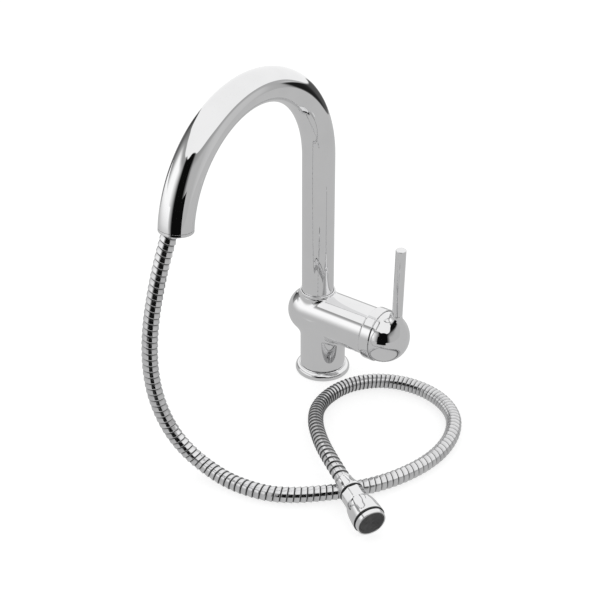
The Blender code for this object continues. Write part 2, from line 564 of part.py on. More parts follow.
def spray_head():
    """Octagon and bell in one body, with the check valve, washers and aerator inside."""
    frame = head_frame()
    chamber, mouth = 8.8 * MM, AERATOR_RADIUS + GAP
    seat = 10.5 * MM
    throat = 6.4 * MM
    wall_back = -OCTAGON_BACK + 7.4 * MM
    bell = [(0.0, -BELL_FRONT), (BELL_RADIUS - 0.2 * MM, -BELL_FRONT), (BELL_RADIUS, -BELL_FRONT - 0.8 * MM)]
    bell += [(BELL_RADIUS - 0.3 * MM, -12.0 * MM), (12.9 * MM, -18.0 * MM), (12.2 * MM, -21.6 * MM)]
    bell += [(11.3 * MM, -BELL_BACK + 0.6 * MM), (10.0 * MM, -BELL_BACK), (0.0, -BELL_BACK)]
    head = turned("head_body", bell, frame, chrome("head_body"), 32)
    octagon = rod("octagon_form", OCTAGON_RADIUS, -OCTAGON_BACK, -BELL_BACK + 4 * MM, frame, steps=8, cutter=True)
    combine(head, octagon, "UNION")
    cavity = [(0.0, 0.0), (mouth, 0.0), (mouth, -seat), (chamber, -seat), (chamber, wall_back), (throat, wall_back)]
    cavity += [(throat, -OCTAGON_BACK - 2 * MM), (0.0, -OCTAGON_BACK - 2 * MM)]
    combine(head, turned("head_cavity_cut", cavity, frame, cutter=True), "DIFFERENCE")
    ring("inlet_washer", 4.6 * MM, throat - GAP, -OCTAGON_BACK + 0.6 * MM, -OCTAGON_BACK + 2.8 * MM, frame,
         rubber("inlet_washer"), steps=20)
    valve = chamber - GAP
    ring("check_valve", 3.6 * MM, valve, wall_back + GAP, -seat - 0.8 * MM, frame, plastic("check_valve", 0.8),
         0.6 * MM, 20)
    poppet = [(0.0, -seat - 2.2 * MM), (3.2 * MM, -seat - 2.2 * MM), (3.2 * MM, -seat - 4.4 * MM)]
    poppet += [(1.4 * MM, -seat - 6.0 * MM), (1.4 * MM, -25.0 * MM), (0.0, -25.0 * MM)]
    turned("check_valve_poppet", poppet, frame, plastic("check_valve_poppet", 0.3), 16)
    ring("front_seal_ring", AERATOR_RADIUS + GAP, BELL_RADIUS, -BELL_FRONT + GAP, -4.2 * MM, frame,
         rubber("front_seal_ring"), 0.2 * MM, 32)
    nose = [(AERATOR_RADIUS + GAP, 0.0), (12.4 * MM, 0.0), (12.9 * MM, -0.5 * MM), (13.1 * MM, -3.9 * MM)]
    nose += [(AERATOR_RADIUS + GAP, -3.9 * MM)]
    turned("aerator_ring", nose, frame, chrome("aerator_ring"), 32)
    insert = [(0.0, -0.7 * MM), (AERATOR_RADIUS - 0.8 * MM, -0.7 * MM), (AERATOR_RADIUS - 0.5 * MM, -0.2 * MM)]
    insert += [(AERATOR_RADIUS, -0.4 * MM), (AERATOR_RADIUS, -seat + 0.4 * MM), (0.0, -seat + 0.4 * MM)]
    turned("aerator_insert", insert, frame, plastic("aerator_insert", 0.03), 32)


base()
body()
water_fittings()
cartridge()
trim_collar()
cartridge_rotor()
stem()
handle()
spout()
hoses()
hose_end()
spray_head()
hang("spout_axis", upright(SPOUT_X), "spout_tube", "mouth_ring", "mouth_guide", "inner_hose", "free_hose",
     "hose_ferrule", "hose_nipple", "swivel_seal_ring")
hang("tilt_axis", along((PIVOT, 0, BARREL_HEIGHT), (0, 1, 0)), "lever_pin", "handle_set_screw")
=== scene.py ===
# Pull-out kitchen mixer: all chrome, with a corrugated metal hose and a spray head lying in front of it.
# Everything is in metres. The column stands at the origin, the barrel lies along +X, and the arch reaches out
# along -Y.
import math

import bmesh
import bpy
import numpy as np
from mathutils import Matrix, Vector


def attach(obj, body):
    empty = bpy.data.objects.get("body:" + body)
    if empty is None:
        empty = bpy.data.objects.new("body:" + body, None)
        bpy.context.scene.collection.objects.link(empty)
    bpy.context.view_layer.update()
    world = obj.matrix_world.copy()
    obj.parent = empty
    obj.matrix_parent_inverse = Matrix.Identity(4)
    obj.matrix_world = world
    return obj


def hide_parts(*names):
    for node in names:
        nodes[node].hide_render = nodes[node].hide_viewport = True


mm = 0.001
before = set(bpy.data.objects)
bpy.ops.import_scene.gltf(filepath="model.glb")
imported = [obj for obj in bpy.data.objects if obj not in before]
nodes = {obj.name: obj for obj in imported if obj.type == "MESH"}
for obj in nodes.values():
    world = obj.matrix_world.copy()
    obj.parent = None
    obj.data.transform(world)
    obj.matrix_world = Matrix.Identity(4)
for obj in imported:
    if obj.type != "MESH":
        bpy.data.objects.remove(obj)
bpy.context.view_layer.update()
print("frame loaded:", len(nodes), "nodes")

camera = {"place": (0.72873, -1.02167, 0.83976), "pitch": 58.64, "turn": 36.48, "lens": 94.95, "sensor": 36.0}

cameraData = bpy.data.cameras.new("studioCamera")
cameraData.lens = camera["lens"]
cameraData.sensor_width = camera["sensor"]
cameraData.clip_start = 0.05
cameraData.clip_end = 50
cameraObject = bpy.data.objects.new("studioCamera", cameraData)
cameraObject.location = camera["place"]
cameraObject.rotation_euler = (math.radians(camera["pitch"]), 0, math.radians(camera["turn"]))
bpy.context.scene.collection.objects.link(cameraObject)
bpy.context.scene.camera = cameraObject
bpy.context.scene.view_settings.view_transform = "Standard"


def newNode(tree, kind, **inputs):
    # a node with some of its inputs set: an underscore in a name stands for a space
    node = tree.nodes.new(kind)
    for name, value in inputs.items():
        node.inputs[name.replace("_", " ")].default_value = value
    return node


def mathNode(tree, operation, first, second=None, third=None, clamp=False):
    # one Math node, with numbers or sockets as its inputs
    node = tree.nodes.new("ShaderNodeMath")
    node.operation = operation
    node.use_clamp = clamp
    for index, value in enumerate((first, second, third)):
        if value is None:
            continue
        if isinstance(value, (int, float)):
            node.inputs[index].default_value = value
        else:
            tree.links.new(value, node.inputs[index])
    return node.outputs[0]


def mapRange(tree, value, low, high, toLow=0.0, toHigh=1.0, smooth=True):
    node = tree.nodes.new("ShaderNodeMapRange")
    node.interpolation_type = "SMOOTHSTEP" if smooth else "LINEAR"
    tree.links.new(value, node.inputs["Value"])
    for name, number in (("From Min", low), ("From Max", high), ("To Min", toLow), ("To Max", toHigh)):
        if isinstance(number, (int, float)):
            node.inputs[name].default_value = number
        else:
            tree.links.new(number, node.inputs[name])
    return node.outputs["Result"]


def mixNumbers(tree, factor, first, second):
    # first where the factor is 0 and second where it is 1
    node = tree.nodes.new("ShaderNodeMix")
    node.data_type = "FLOAT"
    for name, value in (("Factor", factor), ("A", first), ("B", second)):
        socket = [s for s in node.inputs if s.name == name and s.type == "VALUE"][0]
        if isinstance(value, (int, float)):
            socket.default_value = value
        else:
            tree.links.new(value, socket)
    return [s for s in node.outputs if s.type == "VALUE"][0]


def curveNode(tree, value, points):
    # a smooth table: value runs 0..1 and so does what comes out
    node = tree.nodes.new("ShaderNodeFloatCurve")
    curve = node.mapping.curves[0]
    for x, y in points[1:-1]:
        curve.points.new(x, y)
    curve.points[0].location = points[0]
    curve.points[len(points) - 1].location = points[-1]
    for point in curve.points:
        point.handle_type = "AUTO_CLAMPED"
    node.mapping.update()
    tree.links.new(value, node.inputs["Value"])
    return node.outputs["Value"]


def linkPiece(name, mesh, material, body=None, replaced=()):
    # the mesh becomes a piece that rides on a body and stands for some CAD nodes
    obj = bpy.data.objects.new(name, mesh)
    bpy.context.scene.collection.objects.link(obj)
    if material:
        mesh.materials.clear()
        mesh.materials.append(material)
    if body:
        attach(obj, body)
    if replaced:
        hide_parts(*replaced)
    return obj


def meshFrom(name, points, quads, tris=None, smooth=True):
    # arrays of points, four-sided faces and three-sided faces straight into a mesh
    tris = np.zeros((0, 3), int) if tris is None else np.asarray(tris, int)
    quads = np.asarray(quads, int).reshape(-1, 4)
    corners = np.concatenate([quads.reshape(-1), tris.reshape(-1)])
    sizes = np.concatenate([np.full(len(quads), 4), np.full(len(tris), 3)])
    mesh = bpy.data.meshes.new(name)
    mesh.vertices.add(len(points))
    mesh.vertices.foreach_set("co", np.asarray(points, np.float32).reshape(-1))
    mesh.loops.add(len(corners))
    mesh.loops.foreach_set("vertex_index", corners.astype(np.int32))
    mesh.polygons.add(len(sizes))
    mesh.polygons.foreach_set("loop_start", (np.cumsum(sizes) - sizes).astype(np.int32))
    mesh.polygons.foreach_set("use_smooth", np.full(len(sizes), smooth))
    mesh.update(calc_edges=True)
    mesh.validate()
    return mesh


def gridQuads(rows, columns, loopRows=False, loopColumns=True):
    # faces of a grid of rows by columns points, closed round either way
    i = np.arange(rows if loopRows else rows - 1)[:, None]
    j = np.arange(columns if loopColumns else columns - 1)[None, :]
    a, b = i % rows * columns + 0 * j, (i + 1) % rows * columns + 0 * j
    c = (j + 1) % columns
    return np.stack([a + j, b + j, b + c, a + c], axis=-1).reshape(-1, 4)


def filletProfile(corners, closed=True, step=1.2 * mm, support=0.12 * mm):
    # corners are (radius, height, fillet): each corner becomes an arc that touches both sides,
    # and the straight runs get a row close to each arc so that flat parts stay flat in a mirror finish
    corners = [tuple(c) if len(c) == 3 else (*c, 0.0) for c in corners]
    points = np.array([c[:2] for c in corners], float)
    count = len(points)
    arcs = []
    for i, (_, _, fillet) in enumerate(corners):
        here = points[i]
        if not closed and i in (0, count - 1):
            arcs.append(here[None])
            continue
        back, on = points[i - 1] - here, points[(i + 1) % count] - here
        lengthBack, lengthOn = np.linalg.norm(back), np.linalg.norm(on)
        back, on = back / lengthBack, on / lengthOn
        half = math.acos(max(-1, min(1, float(back @ on)))) / 2
        if fillet == 0 or half > 1.55:
            arcs.append(here[None])
            continue
        reach = min(fillet / math.tan(half), 0.49 * lengthBack, 0.49 * lengthOn)
        radius = reach * math.tan(half)
        centre = here + (back + on) / np.linalg.norm(back + on) * radius / math.sin(half)
        start, end = here + back * reach - centre, here + on * reach - centre
        turn = math.atan2(start[0] * end[1] - start[1] * end[0], start @ end)
        angles = np.linspace(0, turn, max(4, int(abs(turn) / math.radians(11)) + 2))
        cosine, sine = np.cos(angles)[:, None], np.sin(angles)[:, None]
        arcs.append(centre + start * cosine + np.array([-start[1], start[0]]) * sine)
    rows = []
    for i in range(count):
        rows.append(arcs[i])
        if not closed and i == count - 1:
            break
        first, last = arcs[i][-1], arcs[(i + 1) % count][0]
        length = np.linalg.norm(last - first)
        if length > 8 * support:
            inner = np.arange(1, max(1, int(length / step))) / max(1, int(length / step)) * length
            inner = inner[(inner > 2 * support) & (inner < length - 2 * support)]
            along = np.concatenate([[support], inner, [length - support]]) / length
            rows.append(first + (last - first) * along[:, None])
    return np.concatenate(rows)


def axisFrame(origin, direction):
    # three unit vectors, the last along the direction: the shortest turn that takes Z there
    turn = np.array(Vector((0, 0, 1)).rotation_difference(Vector(direction)).to_matrix())
    return np.array(origin, float), turn[:, 0], turn[:, 1], turn[:, 2]


def turnedShape(profile, origin, direction, sides=96, closed=True, radial=None):
    # the profile (radius, height) turned about the axis
    # radial(angle, radius, height) may give the round section another radius at each angle
    origin, u, v, w = axisFrame(origin, direction)
    profile = np.asarray(profile, float)
    angle = np.linspace(0, 2 * math.pi, sides, endpoint=False)
    poles = [] if closed else [k for k in (0, len(profile) - 1) if profile[k, 0] < 1e-9]
    body = np.array([k for k in range(len(profile)) if k not in poles])
    radius, height = profile[body, 0][:, None], profile[body, 1][:, None]
    radius = np.repeat(radius, sides, 1) if radial is None else radial(angle[None], radius, height)
    points = (
        origin
        + (radius * np.cos(angle))[..., None] * u
        + (radius * np.sin(angle))[..., None] * v
        + np.repeat(height, sides, 1)[..., None] * w
    ).reshape(-1, 3)
    quads = gridQuads(len(body), sides, closed)
    tris = []
    j = np.arange(sides)
    for pole in poles:
        points = np.vstack([points, origin + profile[pole, 1] * w])
        tip = np.full(sides, len(points) - 1)
        row = 0 if pole == 0 else (len(body) - 1) * sides
        ring, nextRing = row + j, row + (j + 1) % sides
        tris.append(np.stack([tip, ring, nextRing] if pole == 0 else [tip, nextRing, ring], 1))
    return points, quads, np.concatenate(tris) if tris else None


def turnedPiece(name, corners, origin, direction, material, body, replaced=(), sides=96, closed=True,
                radial=None, step=1.2 * mm, sharp=35):
    profile = filletProfile(corners, closed, step)
    mesh = meshFrom(name, *turnedShape(profile, origin, direction, sides, closed, radial))
    mesh.set_sharp_from_angle(angle=math.radians(sharp))
    return linkPiece(name, mesh, material, body, replaced)


def smoothMin(a, b, width):
    # the smaller of two distances, rounded off where they are nearly equal
    share = np.clip(width - np.abs(a - b), 0, None) / width
    return np.minimum(a, b) - share * share * width / 4


def smoothMax(a, b, width):
    return -smoothMin(-a, -b, width)


def flipIfInside(mesh):
    # the sign of the enclosed volume tells which way the faces point
    form = bmesh.new()
    form.from_mesh(mesh)
    if form.calc_volume(signed=True) < 0:
        bmesh.ops.reverse_faces(form, faces=form.faces)
        form.to_mesh(mesh)
    form.free()


def fieldGradient(field, points, step=0.02 * mm):
    offsets = np.eye(3) * step
    return np.stack([(field(points + o) - field(points - o)) / (2 * step) for o in offsets], 1)


def helperObject(name, mesh):
    helper = bpy.data.objects.new(name, mesh)
    bpy.context.scene.collection.objects.link(helper)
    return helper


def addBoolean(obj, operation, other):
    modifier = obj.modifiers.new(operation.lower(), "BOOLEAN")
    modifier.operation, modifier.object = operation, other


def evaluatedMesh(obj):
    graph = bpy.context.evaluated_depsgraph_get()
    return bpy.data.meshes.new_from_object(obj.evaluated_get(graph))


def readPoints(mesh):
    points = np.empty(len(mesh.vertices) * 3, np.float32)
    mesh.vertices.foreach_get("co", points)
    return points.reshape(-1, 3).astype(float)


def settleOnField(mesh, field, rounds=6):
    # Newton's steps onto the zero surface: each point moves by -field * slope / slope squared
    points = readPoints(mesh)
    for _ in range(rounds):
        slope = fieldGradient(field, points)
        size = (slope * slope).sum(1, keepdims=True)
        points = points - field(points)[:, None] * slope / np.maximum(size, 1e-3)
    mesh.vertices.foreach_set("co", points.astype(np.float32).reshape(-1))
    mesh.update()


def setFieldNormals(mesh, field, limit):
    # a corner takes the field's slope where its point lies on the field and its face looks the same way,
    # and its face's own normal elsewhere, as in the bores
    points = readPoints(mesh)
    slope = fieldGradient(field, points)
    slope /= np.maximum(np.linalg.norm(slope, axis=1, keepdims=True), 1e-9)
    near = np.abs(field(points)) < limit
    corner = np.empty(len(mesh.loops), np.int32)
    mesh.loops.foreach_get("vertex_index", corner)
    total = np.empty(len(mesh.polygons), np.int32)
    mesh.polygons.foreach_get("loop_total", total)
    flat = np.empty(len(mesh.polygons) * 3, np.float32)
    mesh.polygons.foreach_get("normal", flat)
    flat = np.repeat(flat.reshape(-1, 3), total, 0)
    mesh.polygons.foreach_set("use_smooth", np.ones(len(total), bool))
    own = slope[corner]
    useField = near[corner] & ((own * flat).sum(1) > 0.8)
    normals = np.where(useField[:, None], own, flat)
    mesh.normals_split_custom_set(normals.astype(np.float32).tolist())


def fieldPiece(name, field, starts, voxel, material, body, replaced, cutters, limit=0.02 * mm):
    # start solids are joined and remeshed, every point is moved onto the field's zero surface,
    # the bores are cut, and the smooth surface takes its shading from the field's own slope
    first = helperObject(name, starts[0])
    others = [helperObject(f"{name}Start{index}", start) for index, start in enumerate(starts[1:])]
    for other in others:
        addBoolean(first, "UNION", other)
    remesh = first.modifiers.new("even", "REMESH")
    remesh.mode, remesh.voxel_size = "VOXEL", voxel
    mesh = evaluatedMesh(first)
    settleOnField(mesh, field)
    first.modifiers.clear()
    first.data = mesh
    for index, cutter in enumerate(cutters):
        tool = helperObject(f"{name}Tool{index}", cutter)
        addBoolean(first, "DIFFERENCE", tool)
        others.append(tool)
    mesh = evaluatedMesh(first)
    for helper in [first, *others]:
        bpy.data.objects.remove(helper)
    mesh.name = name
    setFieldNormals(mesh, field, limit)
    return linkPiece(name, mesh, material, body, replaced)


def finishGroup(name, outputs, inputs):
    # an empty node group with named inputs, which have starting values, and named outputs
    group = bpy.data.node_groups.new(name, "ShaderNodeTree")
    for label, kind, value in inputs:
        socket = group.interface.new_socket(name=label, in_out="INPUT", socket_type=kind)
        socket.default_value = value
    for label, kind in outputs:
        group.interface.new_socket(name=label, in_out="OUTPUT", socket_type=kind)
    return group, group.nodes.new("NodeGroupInput"), group.nodes.new("NodeGroupOutput")


def makePolishWear():
    # wiping marks: a slow cloud and fine streaks, all in metres on the piece
    group, start, end = finishGroup(
        "polishWear",
        [("Mask", "NodeSocketFloat"), ("Roughness", "NodeSocketFloat"), ("Height", "NodeSocketFloat")],
        [("Low", "NodeSocketFloat", 0.03), ("High", "NodeSocketFloat", 0.08),
         ("Scale", "NodeSocketFloat", 1.0)],
    )
    coordinates = group.nodes.new("ShaderNodeTexCoord")
    cloud = newNode(group, "ShaderNodeTexNoise", Detail=3.0, Roughness=0.55)
    streaks = newNode(group, "ShaderNodeTexNoise", Detail=2.0, Roughness=0.5)
    stretch = group.nodes.new("ShaderNodeMapping")
    stretch.inputs["Scale"].default_value = (1.0, 1.0, 0.12)
    group.links.new(coordinates.outputs["Object"], cloud.inputs["Vector"])
    group.links.new(coordinates.outputs["Object"], stretch.inputs["Vector"])
    group.links.new(stretch.outputs["Vector"], streaks.inputs["Vector"])
    group.links.new(mathNode(group, "MULTIPLY", start.outputs["Scale"], 35.0), cloud.inputs["Scale"])
    group.links.new(mathNode(group, "MULTIPLY", start.outputs["Scale"], 900.0), streaks.inputs["Scale"])
    slow = mapRange(group, cloud.outputs["Fac"], 0.35, 0.7)
    fine = mapRange(group, streaks.outputs["Fac"], 0.4, 0.75)
    slowShare = mathNode(group, "MULTIPLY", slow, 0.75)
    fineShare = mathNode(group, "MULTIPLY", fine, 0.25)
    mask = mathNode(group, "ADD", slowShare, fineShare)
    group.links.new(mask, end.inputs["Mask"])
    roughness = mixNumbers(group, mask, start.outputs["Low"], start.outputs["High"])
    group.links.new(roughness, end.inputs["Roughness"])
    group.links.new(streaks.outputs["Fac"], end.inputs["Height"])
    return group


def makeMouldGrain():
    # the fine even grain of moulded rubber and plastic
    group, start, end = finishGroup(
        "mouldGrain",
        [("Mask", "NodeSocketFloat"), ("Height", "NodeSocketFloat")],
        [("Scale", "NodeSocketFloat", 1.0)],
    )
    coordinates = group.nodes.new("ShaderNodeTexCoord")
    grain = newNode(group, "ShaderNodeTexNoise", Detail=4.0, Roughness=0.6)
    group.links.new(coordinates.outputs["Object"], grain.inputs["Vector"])
    group.links.new(mathNode(group, "MULTIPLY", start.outputs["Scale"], 1500.0), grain.inputs["Scale"])
    patch = newNode(group, "ShaderNodeTexNoise", Scale=60.0, Detail=2.0)
    group.links.new(coordinates.outputs["Object"], patch.inputs["Vector"])
    group.links.new(mapRange(group, patch.outputs["Fac"], 0.3, 0.7), end.inputs["Mask"])
    group.links.new(grain.outputs["Fac"], end.inputs["Height"])
    return group


polishWear = makePolishWear()
mouldGrain = makeMouldGrain()


def mixColour(tree, factor, first, second):
    node = tree.nodes.new("ShaderNodeMix")
    node.data_type = "RGBA"
    factorSocket = [s for s in node.inputs if s.name == "Factor" and s.type == "VALUE"][0]
    colours = [s for s in node.inputs if s.type == "RGBA"]
    colours[0].default_value = (*first, 1)
    colours[1].default_value = (*second, 1)
    tree.links.new(factor, factorSocket)
    return [s for s in node.outputs if s.type == "RGBA"][0]


def blankMaterial(name):
    material = bpy.data.materials.new(name)
    material.use_nodes = True
    return material, material.node_tree, material.node_tree.nodes["Principled BSDF"]


def polishedMetal(name, clean, worn, low, high, bump=0.0, scale=1.0):
    # a metal whose wiped areas are slightly duller and less smooth than the rest
    material, tree, shader = blankMaterial(name)
    shader.inputs["Metallic"].default_value = 1.0
    wear = tree.nodes.new("ShaderNodeGroup")
    wear.node_tree = polishWear
    for label, value in (("Low", low), ("High", high), ("Scale", scale)):
        wear.inputs[label].default_value = value
    tree.links.new(mixColour(tree, wear.outputs["Mask"], clean, worn), shader.inputs["Base Color"])
    tree.links.new(wear.outputs["Roughness"], shader.inputs["Roughness"])
    if bump:
        relief = newNode(tree, "ShaderNodeBump", Strength=bump, Distance=0.02 * mm)
        tree.links.new(wear.outputs["Height"], relief.inputs["Height"])
        tree.links.new(relief.outputs["Normal"], shader.inputs["Normal"])
    return material


def strippedHoseMetal(name, clean, worn, low, high, groove, grooveRoughness=0.42):
    # as polishedMetal, with the grooves between the strip's turns rougher and darkened: the near-black groove
    # colour is painted shade, with some real grime
    material = polishedMetal(name, clean, worn, low, high, 0.1, 2.0)
    tree = material.node_tree
    shader = tree.nodes["Principled BSDF"]
    # the groove layer mixes in painted shade, with some real grime, as a darker and rougher finish
    depth = tree.nodes.new("ShaderNodeAttribute")
    depth.attribute_name = "groove"
    plainColour = shader.inputs["Base Color"].links[0].from_socket
    mixed = mixColour(tree, depth.outputs["Fac"], clean, groove)
    first = [socket for socket in mixed.node.inputs if socket.type == "RGBA"][0]
    tree.links.new(plainColour, first)
    tree.links.new(mixed, shader.inputs["Base Color"])
    plainRoughness = shader.inputs["Roughness"].links[0].from_socket
    rough = mixNumbers(tree, depth.outputs["Fac"], plainRoughness, grooveRoughness)
    tree.links.new(rough, shader.inputs["Roughness"])
    return material


def mouldedPlastic(name, clean, worn, roughness, bump=0.25, scale=1.0):
    material, tree, shader = blankMaterial(name)
    shader.inputs["Roughness"].default_value = roughness
    grain = tree.nodes.new("ShaderNodeGroup")
    grain.node_tree = mouldGrain
    grain.inputs["Scale"].default_value = scale
    tree.links.new(mixColour(tree, grain.outputs["Mask"], clean, worn), shader.inputs["Base Color"])
    relief = newNode(tree, "ShaderNodeBump", Strength=bump, Distance=0.05 * mm)
    tree.links.new(grain.outputs["Height"], relief.inputs["Height"])
    tree.links.new(relief.outputs["Normal"], shader.inputs["Normal"])
    return material


finishes = {
    "chrome": polishedMetal("mirrorChrome", (0.83, 0.83, 0.835), (0.80, 0.80, 0.805), 0.018, 0.045),
    # the hose's last colour is its groove colour: painted shade, with some real grime
    "hoseChrome": strippedHoseMetal("hoseStripChrome", (0.80, 0.80, 0.805), (0.70, 0.70, 0.71), 0.08, 0.18,
                                    (0.035, 0.035, 0.035)),
    "brass": polishedMetal("turnedBrass", (0.80, 0.62, 0.33), (0.70, 0.53, 0.27), 0.18, 0.34, 0.3),
    "steel": polishedMetal("turnedSteel", (0.62, 0.62, 0.63), (0.55, 0.55, 0.56), 0.16, 0.32, 0.3),
    "rubber": mouldedPlastic("blackRubber", (0.012, 0.012, 0.013), (0.02, 0.02, 0.02), 0.5, 0.3),
    "ceramic": mouldedPlastic("lappedCeramic", (0.86, 0.85, 0.82), (0.82, 0.81, 0.78), 0.22, 0.05),
    "paleplastic": mouldedPlastic("palePlastic", (0.72, 0.72, 0.70), (0.68, 0.68, 0.66), 0.38),
    "greyplastic": mouldedPlastic("greyPlastic", (0.42, 0.42, 0.42), (0.38, 0.38, 0.38), 0.4),
    "sprayFace": mouldedPlastic("sprayFacePlastic", (0.095, 0.095, 0.098), (0.12, 0.12, 0.12), 0.45, 0.3),
    "darkplastic": mouldedPlastic("darkPlastic", (0.05, 0.05, 0.052), (0.07, 0.07, 0.07), 0.42),
}

nodeFinish = {
    "chrome": "base_flange body_casting trim_collar spout_tube spout_collar_ring mouth_ring hose_ferrule "
              "handle_ball lever_pin head_body aerator_ring",
    "hoseChrome": "inner_hose free_hose",
    "brass": "hot_inlet_nipple cold_inlet_nipple mixed_outlet_nipple cartridge_nut spout_foot hose_inlet_nut "
             "hose_nipple",
    "steel": "spout_retaining_clip stem_pivot_pin handle_stem handle_set_screw",
    "rubber": "base_gasket hot_port_seal cold_port_seal mixed_port_seal swivel_seal_ring inlet_washer "
              "front_seal_ring",
    "ceramic": "fixed_disc moving_disc",
    "paleplastic": "cartridge_housing spout_thrust_washer lower_slip_ring upper_slip_ring check_valve",
    "greyplastic": "cartridge_rotor",
    "darkplastic": "disc_carrier mouth_guide check_valve_poppet aerator_insert",
}
for finish, names in nodeFinish.items():
    for node in names.split():
        for materialSlot in nodes[node].material_slots:
            materialSlot.material = finishes[finish]
print("finishes made:", len(finishes))


studio = {
    # what the polished metal sees all round, at degrees round from -Y towards +X: tones are as seen in the
    # metal, and the edge of the bright dome is in degrees above the horizon
    "domeTone": 0.925,
    "edgeOfDome": ((0, 47), (15, 44), (30, 46), (45, 43), (60, 36), (75, 31), (90, 27), (105, 22), (120, 20),
                   (135, 16), (150, 8), (165, -2), (180, -4), (195, -6), (208, -16), (225, -18), (240, -2),
                   (255, 15), (270, 27), (285, 37), (300, 42), (320, 45), (345, 45), (360, 47)),
    "wallTone": ((0, 0.56), (7, 0.28), (11, 0.08), (47, 0.08), (50, 0.30), (57, 0.50), (62, 0.66), (75, 0.68),
                 (90, 0.68), (105, 0.72), (120, 0.74), (135, 0.73), (143, 0.65), (150, 0.80), (200, 0.80),
                 (212, 0.83), (228, 0.82), (240, 0.70), (255, 0.37), (270, 0.50), (285, 0.67), (300, 0.93),
                 (310, 0.98), (330, 0.98), (340, 0.90), (350, 0.77), (360, 0.56)),
    "bandTone": ((0, 0.5), (10, 0.08), (45, 0.08), (60, 0.55), (90, 0.6), (140, 0.65), (200, 0.75),
                 (235, 0.6), (250, 0.21), (257, 0.38), (270, 0.46), (285, 0.54), (300, 0.59), (330, 0.6),
                 (345, 0.6), (360, 0.5)),
    "bandDepth": 8,
    "wedgeTone": ((0, 0.6), (143, 0.6), (147, 0.13), (160, 0.17), (170, 0.3), (195, 0.35), (207, 0.6),
                  (360, 0.6)),
    "floorTone": 0.705,
    "metalTone": 0.82,
    "lightPower": 2.25,  # light = tone to this power / metalTone
    "plainLight": 0.72,  # even light for what isn't polished
}


def toLinear(tone):
    return tone / 12.92 if tone < 0.04045 else ((tone + 0.055) / 1.055) ** 2.4


def makeStudioWorld():
    world = bpy.data.worlds.new("studio")
    bpy.context.scene.world = world
    world.use_nodes = True
    tree = world.node_tree
    tree.nodes.clear()
    direction = tree.nodes.new("ShaderNodeTexCoord")
    parts = tree.nodes.new("ShaderNodeSeparateXYZ")
    tree.links.new(direction.outputs["Generated"], parts.inputs[0])
    south = mathNode(tree, "MULTIPLY", parts.outputs["Y"], -1.0)
    azimuth = mathNode(tree, "ARCTAN2", parts.outputs["X"], south)
    around = mathNode(tree, "FRACT", mathNode(tree, "MULTIPLY_ADD", azimuth, 1 / (2 * math.pi), 1.0))
    height = mathNode(tree, "MULTIPLY", mathNode(tree, "ARCSINE", parts.outputs["Z"]), 180 / math.pi)

    def table(key, low=0.0, high=1.0):
        return curveNode(tree, around, [(a / 360, (v - low) / (high - low)) for a, v in studio[key]])

    dome = mathNode(tree, "MULTIPLY_ADD", table("edgeOfDome", -30, 70), 100.0, -30.0)
    over = mathNode(tree, "SUBTRACT", height, dome)  # degrees above the dome's lower edge
    wall = table("wallTone")
    band = mapRange(tree, over, -studio["bandDepth"] - 6.0, -studio["bandDepth"] + 4.0)
    tone = mixNumbers(tree, band, wall, table("bandTone"))
    wedgeRows = [mapRange(tree, height, -3.0, -5.0), mapRange(tree, height, -24.0, -16.0)]
    wedge = mathNode(tree, "MULTIPLY", *wedgeRows)
    fromMiddle = mathNode(tree, "ABSOLUTE", mathNode(tree, "SUBTRACT", around, 175 / 360))
    inWedge = mathNode(tree, "MULTIPLY", wedge, mapRange(tree, fromMiddle, 33 / 360, 29 / 360))
    tone = mixNumbers(tree, inWedge, tone, table("wedgeTone"))
    tone = mixNumbers(tree, mapRange(tree, over, -0.8, 0.8), tone, studio["domeTone"])
    tone = mixNumbers(tree, mapRange(tree, height, -24.0, -27.0), tone, studio["floorTone"])
    power = mathNode(tree, "POWER", tone, studio["lightPower"])
    light = mathNode(tree, "MULTIPLY", power, 1 / studio["metalTone"])
    path = tree.nodes.new("ShaderNodeLightPath")
    plain = mixNumbers(tree, path.outputs["Is Glossy Ray"], studio["plainLight"], light)
    direct = mathNode(tree, "MAXIMUM", path.outputs["Is Camera Ray"], path.outputs["Is Transmission Ray"])
    seen = mixNumbers(tree, direct, plain, 1.0)
    background = tree.nodes.new("ShaderNodeBackground")
    tree.links.new(seen, background.inputs["Color"])
    out = tree.nodes.new("ShaderNodeOutputWorld")
    tree.links.new(background.outputs[0], out.inputs["Surface"])


floorLook = {"half": 8.0, "below": 0.2 * mm, "grey": 0.5, "glow": 0.72}


